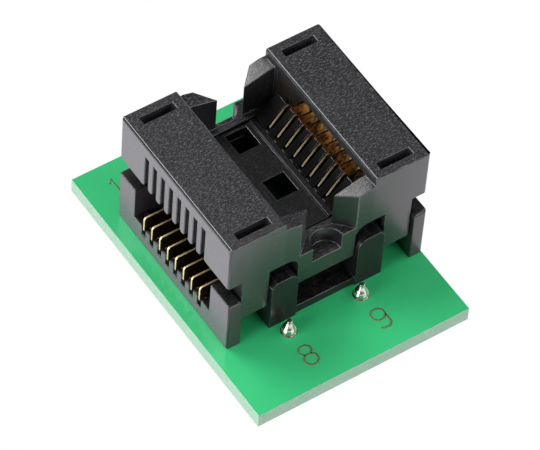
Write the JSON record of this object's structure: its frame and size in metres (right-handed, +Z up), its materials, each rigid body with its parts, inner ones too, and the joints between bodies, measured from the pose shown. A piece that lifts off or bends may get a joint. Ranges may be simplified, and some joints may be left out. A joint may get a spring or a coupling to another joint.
{
  "type": "zif socket",
  "caption": "Open-top spring test socket for a small-outline package, on a green adapter board with header pins below.",
  "frame": {"origin": "under the centre of the board, at the height of the header pin tips", "axes": "+Z up out of the socket's open top, +Y along the contact rows to the far end, +X across the rows"},
  "size_m": [0.022, 0.0302, 0.021],
  "materials": {
    "board": "glossy green solder mask over pale glass-fibre board",
    "mould": "black glass-filled moulding, fine satin grain",
    "strip": "black moulding, satin",
    "pin": "bright tin plate",
    "solder": "bright solder",
    "contact": "thin gold plate",
    "contact_arm": "thin gold plate over copper alloy"
  },
  "bodies": {
    "adapter": {"circuit_board": "board", "socket_base": "mould", "ic_seat": "mould", "header_strip_left": "strip", "header_pins_left": "pin", "header_solder_left": "solder", "tail_solder_left": "solder", "header_strip_right": "strip", "header_pins_right": "pin", "header_solder_right": "solder", "tail_solder_right": "solder", "contact_left_1": "contact", "contact_left_2": "contact", "contact_left_3": "contact", "contact_left_4": "contact", "contact_left_5": "contact", "contact_left_6": "contact", "contact_left_7": "contact", "contact_left_8": "contact", "contact_right_1": "contact", "contact_right_2": "contact", "contact_right_3": "contact", "contact_right_4": "contact", "contact_right_5": "contact", "contact_right_6": "contact", "contact_right_7": "contact", "contact_right_8": "contact"},
    "cover": {"cover": "mould"},
    "left_arms": {"arm_left_1": "contact_arm", "arm_left_2": "contact_arm", "arm_left_3": "contact_arm", "arm_left_4": "contact_arm", "arm_left_5": "contact_arm", "arm_left_6": "contact_arm", "arm_left_7": "contact_arm", "arm_left_8": "contact_arm"},
    "right_arms": {"arm_right_1": "contact_arm", "arm_right_2": "contact_arm", "arm_right_3": "contact_arm", "arm_right_4": "contact_arm", "arm_right_5": "contact_arm", "arm_right_6": "contact_arm", "arm_right_7": "contact_arm", "arm_right_8": "contact_arm"}
  },
  "joints": [
    {"name": "cover_press", "type": "slide", "parent": "adapter", "child": "cover", "axis": [0, 0, -1], "range_m": [0, 0.0014], "stiffness_N_per_m": 200, "springref_m": -0.002},
    {"name": "left_arms_swing", "type": "hinge", "parent": "adapter", "child": "left_arms", "pos_m": [-0.00505, 0.0012, 0.012], "axis": [0, -1, 0], "range_deg": [0, 13]},
    {"name": "right_arms_swing", "type": "hinge", "parent": "adapter", "child": "right_arms", "pos_m": [0.00655, 0.0012, 0.012], "axis": [0, 1, 0], "range_deg": [0, 13]}
  ],
  "couplings": [
    {"joint": "left_arms_swing", "follows": "cover_press", "rad_per_m": 162.07},
    {"joint": "right_arms_swing", "follows": "cover_press", "rad_per_m": 162.07}
  ]
}
